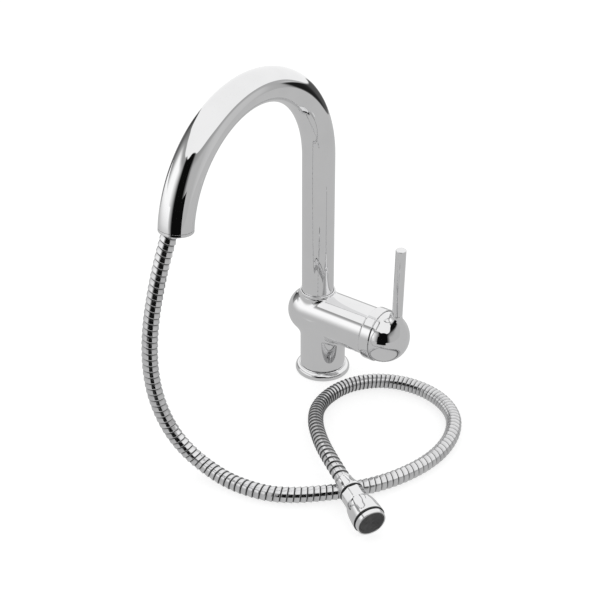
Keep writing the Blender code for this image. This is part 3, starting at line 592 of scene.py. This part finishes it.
def makeFloor():
    # a wide white floor that only the camera and the light see, and the table top that the metal reflects
    material, tree, shader = blankMaterial("whiteFloor")
    tree.nodes.remove(shader)
    path = tree.nodes.new("ShaderNodeLightPath")
    diffuse = newNode(tree, "ShaderNodeBsdfDiffuse", Color=(*[floorLook["grey"]] * 3, 1))
    glow = newNode(tree, "ShaderNodeEmission", Color=(1, 1, 1, 1))
    strength = mathNode(tree, "MULTIPLY", path.outputs["Is Camera Ray"], floorLook["glow"])
    tree.links.new(strength, glow.inputs["Strength"])
    both = tree.nodes.new("ShaderNodeAddShader")
    tree.links.new(diffuse.outputs[0], both.inputs[0])
    tree.links.new(glow.outputs[0], both.inputs[1])
    tree.links.new(both.outputs[0], tree.nodes["Material Output"].inputs["Surface"])
    size = floorLook["half"]
    corners = np.array([(-size, -size, 0), (size, -size, 0), (size, size, 0), (-size, size, 0)])
    corners = corners - (0, 0, floorLook["below"])
    floor = linkPiece("whiteFloor", meshFrom("whiteFloor", corners, [(0, 1, 2, 3)], smooth=False), material)
    floor.visible_glossy = False

    material, tree, shader = blankMaterial("tableTop")
    tree.nodes.remove(shader)
    glow = newNode(tree, "ShaderNodeEmission", Strength=toLinear(studio["floorTone"]) / studio["metalTone"])
    tree.links.new(glow.outputs[0], tree.nodes["Material Output"].inputs["Surface"])
    rim = [(0.0, -0.4 * mm), (0.55, -0.4 * mm), (0.56, 80 * mm)]
    points, quads, tris = turnedShape(rim, (0, 0, 0), (0, 0, 1), 96, closed=False)
    table = linkPiece("tableTop", meshFrom("tableTop", points, quads, tris), material)
    table.visible_camera = table.visible_diffuse = table.visible_shadow = table.visible_transmission = False


def makeCard(name, radius, fromAngle, toAngle, low, high, lowTone, highTone):
    # an upright curved card that only polished metal sees: its tone runs from its foot to its top
    material, tree, shader = blankMaterial(name)
    tree.nodes.remove(shader)
    place = tree.nodes.new("ShaderNodeTexCoord")
    parts = tree.nodes.new("ShaderNodeSeparateXYZ")
    tree.links.new(place.outputs["Object"], parts.inputs[0])
    glow = tree.nodes.new("ShaderNodeEmission")
    tone = mapRange(tree, parts.outputs["Z"], low, high, lowTone, highTone)
    power = mathNode(tree, "POWER", tone, studio["lightPower"])
    tree.links.new(mathNode(tree, "MULTIPLY", power, 1 / studio["metalTone"]), glow.inputs["Strength"])
    tree.links.new(glow.outputs[0], tree.nodes["Material Output"].inputs["Surface"])
    angle = np.radians(np.linspace(fromAngle, toAngle, 40))
    foot = np.stack([radius * np.sin(angle), -radius * np.cos(angle), np.full_like(angle, low)], 1)
    top = foot + (0, 0, high - low)
    mesh = meshFrom(name, np.vstack([foot, top]), gridQuads(2, 40, loopColumns=False))
    card = linkPiece(name, mesh, material)
    card.visible_camera = card.visible_diffuse = card.visible_shadow = card.visible_transmission = False


makeStudioWorld()
makeFloor()
makeCard("softLeftCard", 0.545, 284, 352, 0.0, 0.29, 0.705, 0.98)
makeCard("darkFrontCard", 0.5, 11, 47, 0.0, 0.3, 0.08, 0.08)
print("studio made")

# the loose hose, from the spout's mouth to the ferrule, in millimetres: the points that the CAD hose follows
hoseRoute = (
    (-8.6, -195.1, 238.0), (-11.3, -198.2, 224.0), (-15.6, -203.0, 201.0), (-19.4, -207.3, 176.0),
    (-22.3, -210.8, 151.0), (-23.8, -213.0, 126.0), (-23.5, -213.6, 101.0), (-20.8, -212.2, 77.0),
    (-15.2, -208.9, 54.5), (-6.6, -204.6, 35.2), (5.4, -200.0, 20.4), (21.4, -197.0, 11.0),
    (41.0, -196.6, 7.2), (62.0, -195.4, 7.2), (82.0, -190.3, 7.2), (100.0, -179.6, 7.2),
    (117.3, -163.6, 7.2), (134.0, -145.2, 7.2), (148.3, -124.1, 7.2), (158.6, -101.3, 7.2),
    (164.9, -76.7, 7.2), (166.0, -51.5, 7.2), (160.8, -26.8, 7.2), (148.3, -4.6, 7.2),
    (127.9, 10.2, 7.2), (103.5, 16.0, 7.2), (78.6, 12.7, 7.2), (57.3, 0.4, 7.2),
    (43.0, -19.8, 7.2), (38.6, -44.0, 7.2), (43.6, -68.0, 9.0), (57.2, -90.0, 12.6),
    (75.7, -110.6, 17.3), (94.0, -127.5, 21.3), (109.5, -139.4, 23.2), (121.6, -147.2, 22.5),
    (131.9, -152.9, 20.9),
)
hoseSkin = {
    "radius": 7.0 * mm,
    "groove": 5.95 * mm,  # bottom of the groove between two turns of the strip
    "end": 6.5 * mm,  # plain round ends
    # length of one turn along the hose, at distances from the mouth, both in millimetres
    "pitchAt": (0, 200, 235, 290, 350, 400, 500, 530, 650, 680, 715, 745, 790, 831),
    "pitch": (5.75, 5.75, 5.1, 5.6, 5.3, 5.25, 5.25, 4.3, 4.3, 3.9, 5.0, 6.3, 6.1, 6.0),
    "sides": 40,
    "length": 0.8315,
}


def smoothRoute(points, count):
    # evenly spaced points on a Catmull-Rom curve: a cubic between neighbours, whose slope at each point is
    # half the chord between the points on its two sides
    points = np.array(points, float)
    ends = np.vstack([2 * points[0] - points[1], points, 2 * points[-1] - points[-2]])
    t = np.linspace(0, 1, 60, endpoint=False)[None, :, None]
    a, b, c, d = ends[:-3, None], ends[1:-2, None], ends[2:-1, None], ends[3:, None]
    curve = 0.5 * (2 * b + (c - a) * t + (2 * a - 5 * b + 4 * c - d) * t**2 + (3 * b - a - 3 * c + d) * t**3)
    curve = np.vstack([curve.reshape(-1, 3), points[-1:]])
    travelled = np.concatenate([[0], np.cumsum(np.linalg.norm(np.diff(curve, axis=0), axis=1))])
    wanted = np.linspace(0, travelled[-1], count)
    return np.stack([np.interp(wanted, travelled, curve[:, i]) for i in range(3)], axis=1)


def carriedFrames(path):
    # tangent and two cross directions at each point, turned as little as possible from one to the next
    tangent = np.gradient(path, axis=0)
    tangent /= np.linalg.norm(tangent, axis=1, keepdims=True)
    across = np.zeros_like(path)
    seed = np.array([1.0, 0.0, 0.0])
    across[0] = seed - tangent[0] * (seed @ tangent[0])
    for i in range(1, len(path)):
        across[i] = across[i - 1] - tangent[i] * (across[i - 1] @ tangent[i])
        across[i] /= np.linalg.norm(across[i])
    across[0] /= np.linalg.norm(across[0])
    return tangent, across, np.cross(tangent, across)


strip = {
    # one turn of the strip: where along it, how far it stands out of the groove, and how much painted shade
    # (with some real grime) it carries
    "places": (0.0, 0.04, 0.14, 0.34, 0.54, 0.70, 0.78, 0.81, 0.86, 0.95),
    "rise": (0.24, 0.30, 0.39, 0.58, 0.78, 0.94, 0.98, 0.80, 0.0, 0.02),
    "stripShade": (0.6, 0.22, 0.1, 0.02, 0.0, 0.0, 0.05, 0.5, 1.0, 1.0),
    # the closely imported part in the loop gets painted shade all over, darker and rougher, at distances from
    # the mouth in millimetres
    "loopShadeAt": (430, 520, 740, 800),
    "loopShade": (0.0, 0.24, 0.24, 0.08),
}


def evenedOut(path, reach=24):
    # each coordinate averaged over its neighbours with bell-shaped weights
    weights = np.hanning(2 * reach + 1) / np.hanning(2 * reach + 1).sum()
    padded = np.pad(path, ((reach, reach), (0, 0)), mode="reflect", reflect_type="odd")
    return np.stack([np.convolve(padded[:, i], weights, "valid") for i in range(3)], 1)


def makeHoseSkin(count=1600):
    # one strip wound round the hose: radius is a saw tooth of the turn number, and
    # turn = distance / pitch + angle / full circle, so each row of points is one place on the strip
    # and climbs one pitch as it goes round
    path = evenedOut(smoothRoute(hoseRoute, count) * mm)
    distance = np.concatenate([[0], np.cumsum(np.linalg.norm(np.diff(path, axis=0), axis=1))])
    tangent, across, over = carriedFrames(path)
    pitch = np.interp(distance, np.array(hoseSkin["pitchAt"]) * mm, np.array(hoseSkin["pitch"]) * mm)
    turns = np.concatenate([[0], np.cumsum(np.diff(distance) * (1 / pitch[1:] + 1 / pitch[:-1]) / 2)])
    places, rise, stripShade = (np.array(strip[key]) for key in ("places", "rise", "stripShade"))
    whole = int(math.ceil(turns[-1])) + 2
    phase = (np.arange(whole)[:, None] + places).reshape(-1)
    height = np.tile(rise, whole)
    sides = hoseSkin["sides"]
    angle = np.linspace(0, 2 * math.pi, sides, endpoint=False)
    turn = np.clip(phase[:, None] - angle[None] / (2 * math.pi), 0, turns[-1])
    s = np.interp(turn, turns, distance)
    low, high = hoseSkin["groove"], hoseSkin["radius"]
    radius = low + (high - low) * np.repeat(height[:, None], sides, 1)
    fade = np.clip(np.minimum(s, distance[-1] - s) / (1.2 * mm), 0, 1)
    radius = hoseSkin["end"] * (1 - fade) + radius * fade

    def along(values):
        return np.stack([np.interp(s, distance, values[:, i]) for i in range(3)], -1)

    ring = along(across) * np.cos(angle)[None, :, None] + along(over) * np.sin(angle)[None, :, None]
    points = (along(path) + ring * radius[..., None]).reshape(-1, 3)
    rows = len(phase)
    step = len(places)
    i = np.arange(rows - 1)[:, None]
    j = np.arange(sides - 1)[None]
    a = i * sides + j
    quads = np.stack([a, a + 1, a + 1 + sides, a + sides], -1).reshape(-1, 4)
    # the last column meets the first one a whole turn earlier on the strip
    i = np.arange(step, rows - 1)
    last = i * sides + sides - 1
    first = (i - step) * sides
    seam = np.stack([last, first, first + sides, last + sides], -1)
    points = np.vstack([points, path[0], path[-1]])
    j = np.arange(sides)
    on = (j + 1) % sides
    top = (rows - 1) * sides
    start = np.stack([np.full(sides, len(points) - 2), on, j], -1)
    end = np.stack([np.full(sides, len(points) - 1), top + j, top + on], -1)
    corner = [((step - 1) * sides + sides - 1, 0, step * sides + sides - 1)]
    mesh = meshFrom("hoseSkin", points, np.vstack([quads, seam]), np.vstack([start, end, corner]))
    # the groove layer holds painted shade, with some real grime: dark in the grooves and over the loop's
    # shaded part
    shadeAndGrimeLayer = mesh.attributes.new("groove", "FLOAT", "POINT")
    loopShade = np.interp(s / mm, strip["loopShadeAt"], strip["loopShade"])
    shadeAndGrimeShare, stand = np.tile(stripShade, whole)[:, None], np.tile(rise, whole)[:, None]
    grooves = np.clip(shadeAndGrimeShare * (1 + loopShade) + loopShade * (1 - stand**2), 0, 1)
    shadeAndGrimeLayer.data.foreach_set("value", np.append((grooves * fade).reshape(-1), (0, 0)).astype(np.float32))
    tidyMesh(mesh)
    return mesh, path[::4]


def tidyMesh(mesh):
    # points that fell together are made one, and faces that closed up are dropped
    form = bmesh.new()
    form.from_mesh(mesh)
    bmesh.ops.remove_doubles(form, verts=form.verts, dist=1e-7)
    bmesh.ops.dissolve_degenerate(form, edges=form.edges, dist=1e-8)
    for face in form.faces:
        face.smooth = True
    form.to_mesh(mesh)
    form.free()


hoseMesh, hosePath = makeHoseSkin()
hose = linkPiece("hoseSkin", hoseMesh, finishes["hoseChrome"], "spout", ("free_hose",))
print("hose made:", len(hoseMesh.polygons), "faces")

headPlace = {"face": (177.3 * mm, -177.6 * mm, 13.15 * mm), "yaw": 61.5, "dip": 8.5}
headYaw, headDip = math.radians(headPlace["yaw"]), math.radians(headPlace["dip"])
headWay = (math.cos(headDip) * math.sin(headYaw), -math.cos(headDip) * math.cos(headYaw), -math.sin(headDip))


def inMm(corners):
    return [tuple(value * mm for value in corner) for corner in corners]


def curvedRun(points, count):
    # a smooth outline through a few (radius, height) points
    return [tuple(p) for p in smoothRoute([(*p, 0) for p in points], count)[:, :2]]


def headPiece(name, corners, finish, replaced, body="spray_head", closed=True, sides=96, radial=None,
              step=1.0 * mm):
    return turnedPiece(name, corners, headPlace["face"], headWay, finishes[finish], body, (replaced,), sides,
                       closed, radial, step)


# outlines of (radius, distance forward of the spray face, fillet) in millimetres, down their outer sides
ferruleOutline = [(4.6, -38.3, 0.3), (10.1, -38.3, 0.45)] + curvedRun(
    [(10.2, -39.4), (10.0, -40.9), (9.3, -43.0), (8.5, -45.3), (7.95, -47.5), (7.5, -50.0), (7.4, -51.2)],
    16) + [
    (7.4, -52.0, 0.3), (4.6, -52.0, 0.3)]
ferrule = headPiece("hoseFerruleSkin", inMm(ferruleOutline), "chrome", "hose_ferrule", "spout")
swivelOutline = [(4.6, -36.6, 0.2), (10.45, -36.6, 0.5), (10.45, -38.0, 0.5), (4.6, -38.0, 0.2)]
swivelRing = headPiece("swivelRingSkin", inMm(swivelOutline), "rubber", "swivel_seal_ring", "spout", sides=72)
octagonSkin = {"front": -24.9 * mm, "flat": 9.89 * mm, "sharpness": 46.0}


def octagonToRound(angle, radius, height):
    # the radius of eight flats: flat / (sum of the sides' cosines to a high power) to its root, so that the
    # corners are a little round; further forward the round outline takes over
    sides = angle[..., None] - (np.arange(8) + 0.5) * math.pi / 4
    power = octagonSkin["sharpness"]
    flats = (np.clip(np.cos(sides), 0, None) ** power).sum(-1) ** (-1 / power)
    share = 1 / (1 + np.exp((height - octagonSkin["front"]) / (0.12 * mm)))
    inside = radius < octagonSkin["flat"] - 0.9 * mm  # the bore stays round
    share = np.where(inside, 0.0, share)
    return radius * (1 - share) + radius * flats * share


headOutline = [(11.6, -5.6, 0.2), (13.75, -5.6, 0.4)] + curvedRun(
    [(13.9, -6.6), (13.88, -8.5), (13.6, -12.0), (13.3, -15.3), (12.9, -18.0), (12.2, -21.2), (11.6, -22.9)],
    18) + [
    (11.2, -23.9, 0.6), (9.89, -24.35, 0.5), (9.89, -36.3, 0.7), (6.4, -36.3, 0.3), (6.4, -28.9, 0.2),
    (8.8, -28.9, 0.2), (8.8, -10.5, 0.2), (11.6, -10.5, 0.2)]
headSkin = headPiece("headSkin", inMm(headOutline), "chrome", "head_body", sides=192, radial=octagonToRound,
                     step=0.8 * mm)
frontRingOutline = [(11.6, -4.2, 0.1), (13.9, -4.2, 0.35), (13.9, -5.3, 0.35), (11.6, -5.3, 0.1)]
frontRing = headPiece("frontRingSkin", inMm(frontRingOutline), "rubber", "front_seal_ring")
noseRingOutline = [(11.6, 0.0, 0.35), (12.75, 0.0, 0.75), (13.1, -3.9, 0.3), (11.6, -3.9, 0.1)]
noseRing = headPiece("noseRingSkin", inMm(noseRingOutline), "chrome", "aerator_ring")


def ringedFace(inner, outer, height, pitch, depth):
    # fine round ridges between two radii: height = base - depth * (a cosine wave rounded to 0 or 1)
    radius = np.arange(inner, outer, pitch / 6)
    wave = 0.5 - 0.5 * np.cos(2 * math.pi * (radius - inner) / pitch)
    return list(zip(radius, height - depth * np.round(wave)))


faceOutline = [(0.0, -0.9)] + ringedFace(0.6, 9.9, -0.9, 0.9, 0.35) + [
    (10.3, -0.9, 0.2), (10.5, -0.15, 0.25), (11.3, -0.3, 0.2), (11.3, -10.1, 0.2), (0.0, -10.1)]
sprayFace = headPiece("sprayFaceSkin", inMm(faceOutline), "sprayFace", "aerator_insert", closed=False,
                      step=2 * mm)

print("spray head made")

column = {"radius": 21.0 * mm, "low": 7.9 * mm}
barrel = {"axis": 61.3 * mm, "radius": 22.5 * mm, "end": 56.0 * mm, "dome": -12.5 * mm}
boss = {"x": -6.2 * mm, "radius": 16.5 * mm, "top": 82.4 * mm, "facing": 16.8 * mm}
casting = {"underFillet": 4.5 * mm, "bossFillet": 2.5 * mm, "edge": 0.9 * mm, "voxel": 0.9 * mm}


def castingField(p):
    # distance from a capsule-ended bar on its side, softly joined to the column under it and the boss on it
    reach = np.clip(p[:, 0], barrel["dome"], None)
    bar = np.sqrt((p[:, 0] - reach) ** 2 + p[:, 1] ** 2 + (p[:, 2] - barrel["axis"]) ** 2) - barrel["radius"]
    fromColumn = np.hypot(p[:, 0], p[:, 1]) - column["radius"]
    pillar = smoothMax(fromColumn, p[:, 2] - barrel["axis"], casting["edge"])
    knob = smoothMax(np.hypot(p[:, 0] - boss["x"], p[:, 1]) - boss["radius"],
                     np.maximum(p[:, 2] - boss["top"], barrel["axis"] - p[:, 2]), casting["edge"])
    whole = smoothMin(bar, pillar, casting["underFillet"])
    whole = smoothMin(whole, knob, casting["bossFillet"])
    # the spot face round the boss, at its top's height
    facing = np.maximum(np.hypot(p[:, 0] - boss["x"], p[:, 1]) - boss["facing"], boss["top"] - p[:, 2])
    whole = smoothMax(whole, -facing, 0.3 * mm)
    whole = smoothMax(whole, column["low"] - p[:, 2], casting["edge"])
    return smoothMax(whole, p[:, 0] - barrel["end"], casting["edge"])


def plainTurned(corners, origin, direction, sides=96):
    return meshFrom("form", *turnedShape(corners, origin, direction, sides, closed=False))


def cylinderForm(radius, low, high, origin, direction, sides=96):
    return plainTurned([(0, high), (radius, high), (radius, low), (0, low)], origin, direction, sides)


up, sideways = (0, 0, 1), (1, 0, 0)
domeArc = [(barrel["radius"] * math.cos(a), barrel["dome"] + barrel["radius"] * math.sin(a))
           for a in np.radians(np.linspace(0, -90, 16))][:-1]
barOutline = [(0, barrel["end"]), (barrel["radius"], barrel["end"])] + domeArc + [
    (0, barrel["dome"] - barrel["radius"])]
castingStarts = [
    plainTurned(barOutline, (0, 0, barrel["axis"]), sideways),
    cylinderForm(column["radius"], column["low"], barrel["axis"], (0, 0, 0), up),
    cylinderForm(boss["radius"], barrel["axis"], boss["top"], (boss["x"], 0, 0), up),
]
bossBore = inMm([(0, 90), (15.05, 90), (15.05, 64), (12.6, 64), (12.6, 47), (10.0, 47), (10.0, 43), (0, 43)])
barrelBore = inMm([(0, 60), (21.8, 60), (21.8, 53.3), (18.2, 53.3), (18.2, 40), (0, 40)])
castingCuts = [
    cylinderForm(18.0 * mm, 0, 44.0 * mm, (0, 0, 0), up),
    plainTurned(bossBore, (boss["x"], 0, 0), up),
    plainTurned(barrelBore, (0, 0, barrel["axis"]), sideways),
]
castingSkin = fieldPiece("castingSkin", castingField, castingStarts, casting["voxel"], finishes["chrome"],
                         "body", ("body_casting",), castingCuts)
print("casting made:", len(castingSkin.data.polygons), "faces")

lever = {"x": 81.8 * mm, "foot": 89.2 * mm, "tip": 156.6 * mm, "lean": 1.3, "radius": 4.8 * mm}
leverWay = (math.sin(math.radians(lever["lean"])), 0, math.cos(math.radians(lever["lean"])))
ball = {"x": 68.5 * mm, "radius": 23.6 * mm, "rear": 7.8 * mm, "tilt": 11.0, "neckTop": -0.3 * mm,
        "neckFoot": -17 * mm, "neckFillet": 9.5 * mm, "edge": 0.5 * mm, "voxel": 0.8 * mm}


def ballField(p):
    # distance from the ball, softly joined to the lever's round neck, cut off by the sloping rear plane
    q = p - np.array((ball["x"], 0, barrel["axis"]))
    sphere = np.linalg.norm(q, axis=1) - ball["radius"]
    rise = (p - np.array((lever["x"], 0, lever["foot"]))) @ np.array(leverWay)
    off = p - np.array((lever["x"], 0, lever["foot"])) - rise[:, None] * np.array(leverWay)
    neckEnds = np.maximum(rise - ball["neckTop"], ball["neckFoot"] - rise)
    neck = smoothMax(np.linalg.norm(off, axis=1) - lever["radius"], neckEnds, ball["edge"])
    tilt = math.radians(ball["tilt"])
    behind = -q @ np.array((math.cos(tilt), 0, math.sin(tilt))) - ball["rear"]
    return smoothMax(smoothMin(sphere, neck, ball["neckFillet"]), behind, ball["edge"])


cavityArc = [(20.3 * math.cos(a), 20.3 * math.sin(a)) for a in np.radians(np.linspace(71.3, -30, 24))]
cavity = [(0, 17.6), (3.9, 17.6), (3.9, 11.0), (6.5, 11.0)] + cavityArc + [(17.6, -25), (0, -25)]
rearSlope = math.radians(ball["tilt"])
rearEdge = -math.degrees(math.asin(ball["rear"] / ball["radius"]))
ballArc = [(ball["radius"] * math.cos(a), ball["radius"] * math.sin(a))
           for a in np.radians(np.linspace(86, rearEdge, 28))]
ballStarts = [
    plainTurned([(0, ball["radius"])] + ballArc + [(0, -ball["rear"])], (ball["x"], 0, barrel["axis"]),
                (math.cos(rearSlope), 0, math.sin(rearSlope))),
    cylinderForm(lever["radius"] + 1 * mm, -14 * mm, ball["neckTop"], (lever["x"], 0, lever["foot"]),
                 leverWay),
]
ballCuts = [
    plainTurned(inMm(cavity), (ball["x"], 0, barrel["axis"]), sideways),
    cylinderForm(2.9 * mm, -8.3 * mm, 2 * mm, (lever["x"], 0, lever["foot"]), leverWay, 48),
    cylinderForm(2.3 * mm, 8 * mm, 26 * mm, (ball["x"] + 14.3 * mm, 0, barrel["axis"]), (0, 0, -1), 48),
]
ballSkin = fieldPiece("handleBallSkin", ballField, ballStarts, ball["voxel"], finishes["chrome"], "lever",
                      ("handle_ball",), ballCuts)
leverLength = (lever["tip"] - lever["foot"]) / leverWay[2]
leverOutline = [(0, leverLength), (lever["radius"], leverLength, 0.8 * mm), (lever["radius"], 0, 0.15 * mm),
                (2.6 * mm, 0), (2.6 * mm, -8 * mm, 0.3 * mm), (0, -8 * mm)]
turnedPiece("leverPinSkin", leverOutline, (lever["x"], 0, lever["foot"]), leverWay, finishes["chrome"],
            "lever", ("lever_pin",), 64, False)
print("handle made:", len(ballSkin.data.polygons), "faces")

collar = {"radius": 24.7 * mm, "back": 56.3 * mm, "end": 66.5 * mm, "socket": 23.9 * mm, "bore": 20.6 * mm}
socketStart = -math.acos(collar["bore"] / collar["socket"])
socketEnd = -math.asin((ball["x"] - collar["end"]) / collar["socket"])
socketArc = [(collar["socket"] * math.cos(a), ball["x"] + collar["socket"] * math.sin(a))
             for a in np.linspace(socketStart, socketEnd, 14)]
collarOutline = [(collar["radius"] - 0.05 * mm, collar["end"], 0.3 * mm),
                 (collar["radius"], collar["end"] - 0.6 * mm, 0.3 * mm),
                 (collar["radius"], collar["back"], 1.6 * mm), (21.5 * mm, collar["back"], 0.2 * mm),
                 (21.5 * mm, 53.6 * mm, 0.3 * mm), (collar["bore"], 53.6 * mm, 0.2 * mm)] + socketArc
turnedPiece("collarSkin", collarOutline, (0, 0, barrel["axis"]), sideways, finishes["chrome"], "body",
            ("trim_collar",), 128)

flange = [(18.0, 7.6, 0.3), (21.45, 7.6, 0.3), (21.85, 6.95, 0.25)] + [
    (21.2 + 4.3 * math.cos(a), 2.8 + 4.3 * math.sin(a)) for a in np.radians(np.linspace(78, 0, 26))] + [
    (23.3 + 2.2 * math.cos(a), 2.2 + 2.2 * math.sin(a)) for a in np.radians(np.linspace(0, -82, 16))] + [
    (21.3, 0.0, 0.2), (21.3, 1.5, 0.1), (18.3, 1.5, 0.1), (18.3, 0.0, 0.1), (18.0, 0.0, 0.1)]
turnedPiece("flangeSkin", inMm(flange), (0, 0, 0), up, finishes["chrome"], "body", ("base_flange",), 160)
ringOutline = [(15.05, 85.2, 0.5), (16.4, 85.2, 0.6), (16.4, 82.7, 0.3), (15.05, 82.7, 0.2)]
turnedPiece("collarRingSkin", inMm(ringOutline), (boss["x"], 0, 0), up, finishes["chrome"], "spout",
            ("spout_collar_ring",), 128)

spout = {"radius": 14.75 * mm, "bore": 13.25 * mm, "foot": 65.6 * mm, "legTop": 221.8 * mm, "bend": 97.1 * mm,
         "arch": 170.5, "mouthTurn": 173.5, "straight": 3.0 * mm, "sides": 128}


def spoutPath():
    # straight leg, then a circle towards -Y, then a short straight piece at the mouth
    leg = np.linspace(spout["foot"], spout["legTop"], 60)[:-1]
    leg = np.stack([np.full_like(leg, boss["x"]), 0 * leg, leg], 1)
    angle = np.radians(np.linspace(0, spout["arch"], 150))
    bend = np.stack([np.full_like(angle, boss["x"]), spout["bend"] * (np.cos(angle) - 1),
                     spout["legTop"] + spout["bend"] * np.sin(angle)], 1)
    turn = math.radians(spout["mouthTurn"])
    way = np.array((0, -math.sin(turn), math.cos(turn)))
    end = bend[-1] + way * spout["straight"]
    bendWays = np.stack([0 * angle, -np.sin(angle), np.cos(angle)], 1)
    ways = np.vstack([np.tile((0.0, 0, 1), (len(leg), 1)), bendWays, way, way])
    return np.vstack([leg, bend, bend[-1] + way * 0.5 * spout["straight"], end]), ways, end, way


def makeSpoutTube():
    # outer and inner wall: path + radius * (X cosine + (way x X) sine), with the two ends closed by flat rims
    path, ways, end, way = spoutPath()
    sides = spout["sides"]
    angle = np.linspace(0, 2 * math.pi, sides, endpoint=False)
    over = np.cross(ways, (1.0, 0, 0))
    ring = np.cos(angle)[None, :, None] * np.array((1.0, 0, 0)) + np.sin(angle)[None, :, None] * over[:, None]
    outer = path[:, None] + ring * spout["radius"]
    inner = path[:, None] + ring * spout["bore"]
    points = np.concatenate([outer, inner[::-1]]).reshape(-1, 3)
    quads = gridQuads(2 * len(path), sides, True)
    mesh = meshFrom("spoutTubeSkin", points, quads)
    flipIfInside(mesh)
    mesh.set_sharp_from_angle(angle=math.radians(40))
    linkPiece("spoutTubeSkin", mesh, finishes["chrome"], "spout", ("spout_tube",))
    return end, way


mouthPlace, mouthWay = makeSpoutTube()
mouthOutline = [(13.25, 3.0, 0.3), (14.75, 3.0, 1.1), (14.75, 0.3, 0.12), (13.25, 0.3, 0.1)]
turnedPiece("mouthRingSkin", inMm(mouthOutline), mouthPlace, mouthWay, finishes["chrome"], "spout",
            ("mouth_ring",), 128, step=0.5 * mm)
print("spout made")
